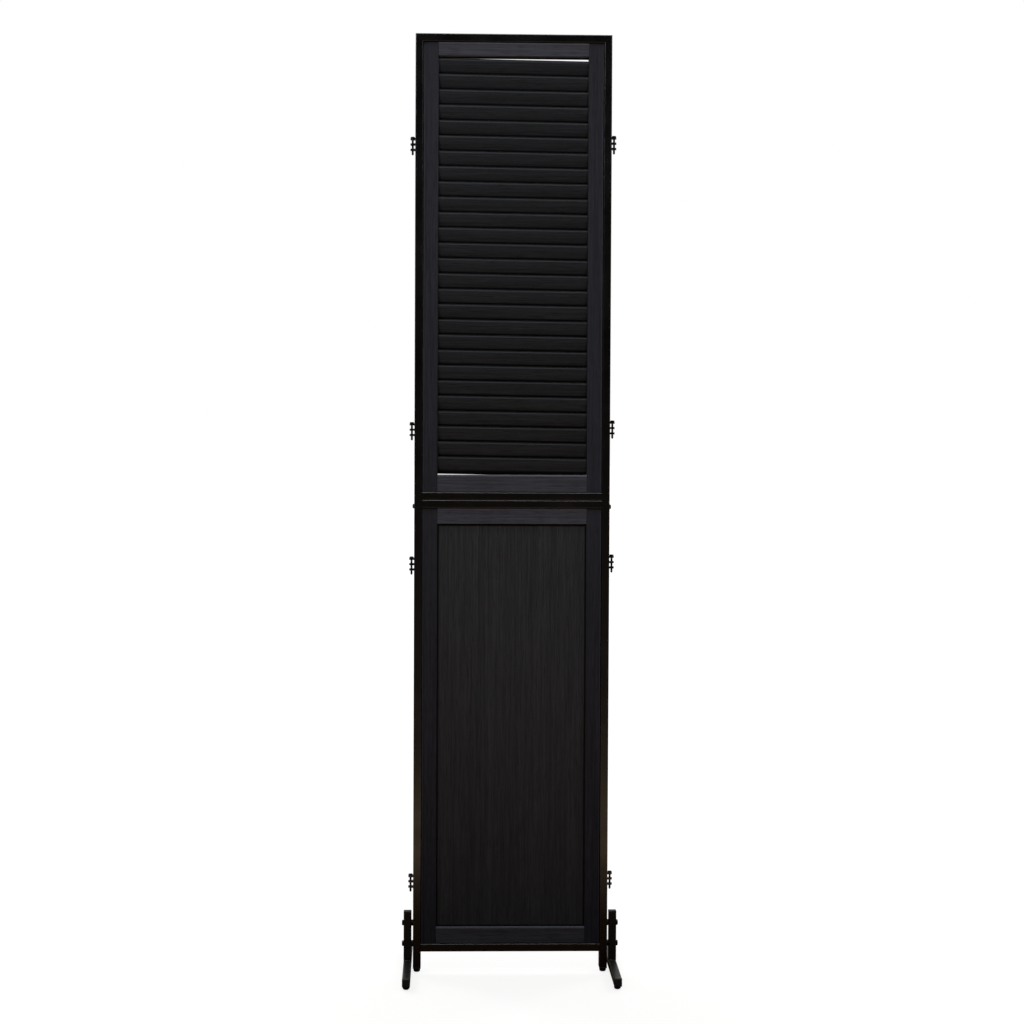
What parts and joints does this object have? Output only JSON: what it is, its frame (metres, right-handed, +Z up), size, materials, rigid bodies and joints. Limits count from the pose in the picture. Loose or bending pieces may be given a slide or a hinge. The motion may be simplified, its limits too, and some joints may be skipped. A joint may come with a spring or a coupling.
{
  "type": "room divider",
  "caption": "Tall narrow free-standing room divider panel: tilting louvred shutter over a framed board in black steel tube frames on T feet, with drop-pin hinge ears on both sides.",
  "frame": {"origin": "on the floor under the middle of the panel", "axes": "+X to the right seen from the front, +Y to the back, +Z up"},
  "size_m": [0.4178, 0.3, 1.8],
  "materials": {
    "frame_steel": "satin black powder coat",
    "hinge_steel": "satin black powder coat",
    "fastener_steel": "black oxide",
    "foot_plastic": "moulded matt black",
    "shutter_wood": "black stain, satin lacquer",
    "board_wood": "black stain, satin lacquer, upright grain",
    "slat_wood": "black stain, satin lacquer"
  },
  "bodies": {
    "panel": {"upper_left_upright": "frame_steel", "upper_right_upright": "frame_steel", "upper_cross_tubes": "frame_steel", "lower_left_upright": "frame_steel", "lower_right_upright": "frame_steel", "lower_cross_tubes": "frame_steel", "joining_spigots": "frame_steel", "left_foot": "frame_steel", "right_foot": "frame_steel", "hinge_ears": "hinge_steel", "joining_bolts": "fastener_steel", "foot_bolts": "fastener_steel", "shutter_screws": "fastener_steel", "end_caps": "foot_plastic", "glides": "foot_plastic", "louvre_left_stile": "shutter_wood", "louvre_right_stile": "shutter_wood", "louvre_top_rail": "shutter_wood", "louvre_bottom_rail": "shutter_wood", "panel_left_stile": "shutter_wood", "panel_right_stile": "shutter_wood", "panel_top_rail": "shutter_wood", "panel_bottom_rail": "shutter_wood", "panel_board": "board_wood"},
    "slat_01": {"slat_01": "slat_wood"},
    "slat_02": {"slat_02": "slat_wood"},
    "slat_03": {"slat_03": "slat_wood"},
    "slat_04": {"slat_04": "slat_wood"},
    "slat_05": {"slat_05": "slat_wood"},
    "slat_06": {"slat_06": "slat_wood"},
    "slat_07": {"slat_07": "slat_wood"},
    "slat_08": {"slat_08": "slat_wood"},
    "slat_09": {"slat_09": "slat_wood"},
    "slat_10": {"slat_10": "slat_wood"},
    "slat_11": {"slat_11": "slat_wood"},
    "slat_12": {"slat_12": "slat_wood"},
    "slat_13": {"slat_13": "slat_wood"},
    "slat_14": {"slat_14": "slat_wood"},
    "slat_15": {"slat_15": "slat_wood"},
    "slat_16": {"slat_16": "slat_wood"},
    "slat_17": {"slat_17": "slat_wood"},
    "slat_18": {"slat_18": "slat_wood"},
    "slat_19": {"slat_19": "slat_wood"},
    "slat_20": {"slat_20": "slat_wood"},
    "slat_21": {"slat_21": "slat_wood"},
    "slat_22": {"slat_22": "slat_wood"},
    "slat_23": {"slat_23": "slat_wood"},
    "slat_24": {"slat_24": "slat_wood"},
    "slat_25": {"slat_25": "slat_wood"},
    "slat_26": {"slat_26": "slat_wood"},
    "slat_27": {"slat_27": "slat_wood"},
    "tilt_rod": {"tilt_rod": "slat_wood"},
    "hinge_pin_left_1": {"hinge_pin_left_1": "hinge_steel"},
    "hinge_pin_left_2": {"hinge_pin_left_2": "hinge_steel"},
    "hinge_pin_left_3": {"hinge_pin_left_3": "hinge_steel"},
    "hinge_pin_left_4": {"hinge_pin_left_4": "hinge_steel"},
    "hinge_pin_right_1": {"hinge_pin_right_1": "hinge_steel"},
    "hinge_pin_right_2": {"hinge_pin_right_2": "hinge_steel"},
    "hinge_pin_right_3": {"hinge_pin_right_3": "hinge_steel"},
    "hinge_pin_right_4": {"hinge_pin_right_4": "hinge_steel"}
  },
  "joints": [
    {"name": "slat_01_tilt", "type": "hinge", "parent": "panel", "child": "slat_01", "pos_m": [0, 0, 1.73565], "axis": [0.9999, 0, -0.0133], "range_deg": [0, 130]},
    {"name": "slat_02_tilt", "type": "hinge", "parent": "panel", "child": "slat_02", "pos_m": [0, 0, 1.70648], "axis": [0.9999, 0, -0.0133], "range_deg": [0, 130]},
    {"name": "slat_03_tilt", "type": "hinge", "parent": "panel", "child": "slat_03", "pos_m": [0, 0, 1.67731], "axis": [0.9999, 0, -0.0133], "range_deg": [0, 130]},
    {"name": "slat_04_tilt", "type": "hinge", "parent": "panel", "child": "slat_04", "pos_m": [0, 0, 1.64814], "axis": [0.9999, 0, -0.0133], "range_deg": [0, 130]},
    {"name": "slat_05_tilt", "type": "hinge", "parent": "panel", "child": "slat_05", "pos_m": [0, 0, 1.61896], "axis": [0.9999, 0, -0.0133], "range_deg": [0, 130]},
    {"name": "slat_06_tilt", "type": "hinge", "parent": "panel", "child": "slat_06", "pos_m": [0, 0, 1.58979], "axis": [0.9999, 0, -0.0133], "range_deg": [0, 130]},
    {"name": "slat_07_tilt", "type": "hinge", "parent": "panel", "child": "slat_07", "pos_m": [0, 0, 1.56062], "axis": [0.9999, 0, -0.0133], "range_deg": [0, 130]},
    {"name": "slat_08_tilt", "type": "hinge", "parent": "panel", "child": "slat_08", "pos_m": [0, 0, 1.53145], "axis": [0.9999, 0, -0.0133], "range_deg": [0, 130]},
    {"name": "slat_09_tilt", "type": "hinge", "parent": "panel", "child": "slat_09", "pos_m": [0, 0, 1.50228], "axis": [0.9999, 0, -0.0133], "range_deg": [0, 130]},
    {"name": "slat_10_tilt", "type": "hinge", "parent": "panel", "child": "slat_10", "pos_m": [0, 0, 1.47311], "axis": [0.9999, 0, -0.0133], "range_deg": [0, 130]},
    {"name": "slat_11_tilt", "type": "hinge", "parent": "panel", "child": "slat_11", "pos_m": [0, 0, 1.44394], "axis": [0.9999, 0, -0.0133], "range_deg": [0, 130]},
    {"name": "slat_12_tilt", "type": "hinge", "parent": "panel", "child": "slat_12", "pos_m": [0, 0, 1.41477], "axis": [0.9999, 0, -0.0133], "range_deg": [0, 130]},
    {"name": "slat_13_tilt", "type": "hinge", "parent": "panel", "child": "slat_13", "pos_m": [0, 0, 1.3856], "axis": [0.9999, 0, -0.0133], "range_deg": [0, 130]},
    {"name": "louvre_tilt", "type": "hinge", "parent": "panel", "child": "slat_14", "pos_m": [0, 0, 1.35642], "axis": [0.9999, 0, -0.0133], "range_deg": [0, 130]},
    {"name": "slat_15_tilt", "type": "hinge", "parent": "panel", "child": "slat_15", "pos_m": [0, 0, 1.32725], "axis": [0.9999, 0, -0.0133], "range_deg": [0, 130]},
    {"name": "slat_16_tilt", "type": "hinge", "parent": "panel", "child": "slat_16", "pos_m": [0, 0, 1.29808], "axis": [0.9999, 0, -0.0133], "range_deg": [0, 130]},
    {"name": "slat_17_tilt", "type": "hinge", "parent": "panel", "child": "slat_17", "pos_m": [0, 0, 1.26891], "axis": [0.9999, 0, -0.0133], "range_deg": [0, 130]},
    {"name": "slat_18_tilt", "type": "hinge", "parent": "panel", "child": "slat_18", "pos_m": [0, 0, 1.23974], "axis": [0.9999, 0, -0.0133], "range_deg": [0, 130]},
    {"name": "slat_19_tilt", "type": "hinge", "parent": "panel", "child": "slat_19", "pos_m": [0, 0, 1.21057], "axis": [0.9999, 0, -0.0133], "range_deg": [0, 130]},
    {"name": "slat_20_tilt", "type": "hinge", "parent": "panel", "child": "slat_20", "pos_m": [0, 0, 1.1814], "axis": [0.9999, 0, -0.0133], "range_deg": [0, 130]},
    {"name": "slat_21_tilt", "type": "hinge", "parent": "panel", "child": "slat_21", "pos_m": [0, 0, 1.15223], "axis": [0.9999, 0, -0.0133], "range_deg": [0, 130]},
    {"name": "slat_22_tilt", "type": "hinge", "parent": "panel", "child": "slat_22", "pos_m": [0, 0, 1.12306], "axis": [0.9999, 0, -0.0133], "range_deg": [0, 130]},
    {"name": "slat_23_tilt", "type": "hinge", "parent": "panel", "child": "slat_23", "pos_m": [0, 0, 1.09388], "axis": [0.9999, 0, -0.0133], "range_deg": [0, 130]},
    {"name": "slat_24_tilt", "type": "hinge", "parent": "panel", "child": "slat_24", "pos_m": [0, 0, 1.06471], "axis": [0.9999, 0, -0.0133], "range_deg": [0, 130]},
    {"name": "slat_25_tilt", "type": "hinge", "parent": "panel", "child": "slat_25", "pos_m": [0, 0, 1.03554], "axis": [0.9999, 0, -0.0133], "range_deg": [0, 130]},
    {"name": "slat_26_tilt", "type": "hinge", "parent": "panel", "child": "slat_26", "pos_m": [0, 0, 1.00637], "axis": [0.9999, 0, -0.0133], "range_deg": [0, 130]},
    {"name": "slat_27_tilt", "type": "hinge", "parent": "panel", "child": "slat_27", "pos_m": [0, 0, 0.9772], "axis": [0.9999, 0, -0.0133], "range_deg": [0, 130]},
    {"name": "rod_pivot", "type": "hinge", "parent": "slat_14", "child": "tilt_rod", "pos_m": [0, 0.00562, 1.33546], "axis": [0.9999, 0, -0.0133], "range_deg": [-130, 0]},
    {"name": "pin_left_1_lift", "type": "slide", "parent": "panel", "child": "hinge_pin_left_1", "axis": [0, 0, 1], "range_m": [0, 0.034]},
    {"name": "pin_left_2_lift", "type": "slide", "parent": "panel", "child": "hinge_pin_left_2", "axis": [0, 0, 1], "range_m": [0, 0.034]},
    {"name": "pin_left_3_lift", "type": "slide", "parent": "panel", "child": "hinge_pin_left_3", "axis": [0, 0, 1], "range_m": [0, 0.034]},
    {"name": "pin_left_4_lift", "type": "slide", "parent": "panel", "child": "hinge_pin_left_4", "axis": [0, 0, 1], "range_m": [0, 0.034]},
    {"name": "pin_right_1_lift", "type": "slide", "parent": "panel", "child": "hinge_pin_right_1", "axis": [0, 0, 1], "range_m": [0, 0.034]},
    {"name": "pin_right_2_lift", "type": "slide", "parent": "panel", "child": "hinge_pin_right_2", "axis": [0, 0, 1], "range_m": [0, 0.034]},
    {"name": "pin_right_3_lift", "type": "slide", "parent": "panel", "child": "hinge_pin_right_3", "axis": [0, 0, 1], "range_m": [0, 0.034]},
    {"name": "pin_right_4_lift", "type": "slide", "parent": "panel", "child": "hinge_pin_right_4", "axis": [0, 0, 1], "range_m": [0, 0.034]}
  ],
  "couplings": [
    {"joint": "slat_01_tilt", "follows": "louvre_tilt", "ratio": 1},
    {"joint": "slat_02_tilt", "follows": "louvre_tilt", "ratio": 1},
    {"joint": "slat_03_tilt", "follows": "louvre_tilt", "ratio": 1},
    {"joint": "slat_04_tilt", "follows": "louvre_tilt", "ratio": 1},
    {"joint": "slat_05_tilt", "follows": "louvre_tilt", "ratio": 1},
    {"joint": "slat_06_tilt", "follows": "louvre_tilt", "ratio": 1},
    {"joint": "slat_07_tilt", "follows": "louvre_tilt", "ratio": 1},
    {"joint": "slat_08_tilt", "follows": "louvre_tilt", "ratio": 1},
    {"joint": "slat_09_tilt", "follows": "louvre_tilt", "ratio": 1},
    {"joint": "slat_10_tilt", "follows": "louvre_tilt", "ratio": 1},
    {"joint": "slat_11_tilt", "follows": "louvre_tilt", "ratio": 1},
    {"joint": "slat_12_tilt", "follows": "louvre_tilt", "ratio": 1},
    {"joint": "slat_13_tilt", "follows": "louvre_tilt", "ratio": 1},
    {"joint": "slat_15_tilt", "follows": "louvre_tilt", "ratio": 1},
    {"joint": "slat_16_tilt", "follows": "louvre_tilt", "ratio": 1},
    {"joint": "slat_17_tilt", "follows": "louvre_tilt", "ratio": 1},
    {"joint": "slat_18_tilt", "follows": "louvre_tilt", "ratio": 1},
    {"joint": "slat_19_tilt", "follows": "louvre_tilt", "ratio": 1},
    {"joint": "slat_20_tilt", "follows": "louvre_tilt", "ratio": 1},
    {"joint": "slat_21_tilt", "follows": "louvre_tilt", "ratio": 1},
    {"joint": "slat_22_tilt", "follows": "louvre_tilt", "ratio": 1},
    {"joint": "slat_23_tilt", "follows": "louvre_tilt", "ratio": 1},
    {"joint": "slat_24_tilt", "follows": "louvre_tilt", "ratio": 1},
    {"joint": "slat_25_tilt", "follows": "louvre_tilt", "ratio": 1},
    {"joint": "slat_26_tilt", "follows": "louvre_tilt", "ratio": 1},
    {"joint": "slat_27_tilt", "follows": "louvre_tilt", "ratio": 1},
    {"joint": "rod_pivot", "follows": "louvre_tilt", "ratio": -1}
  ]
}
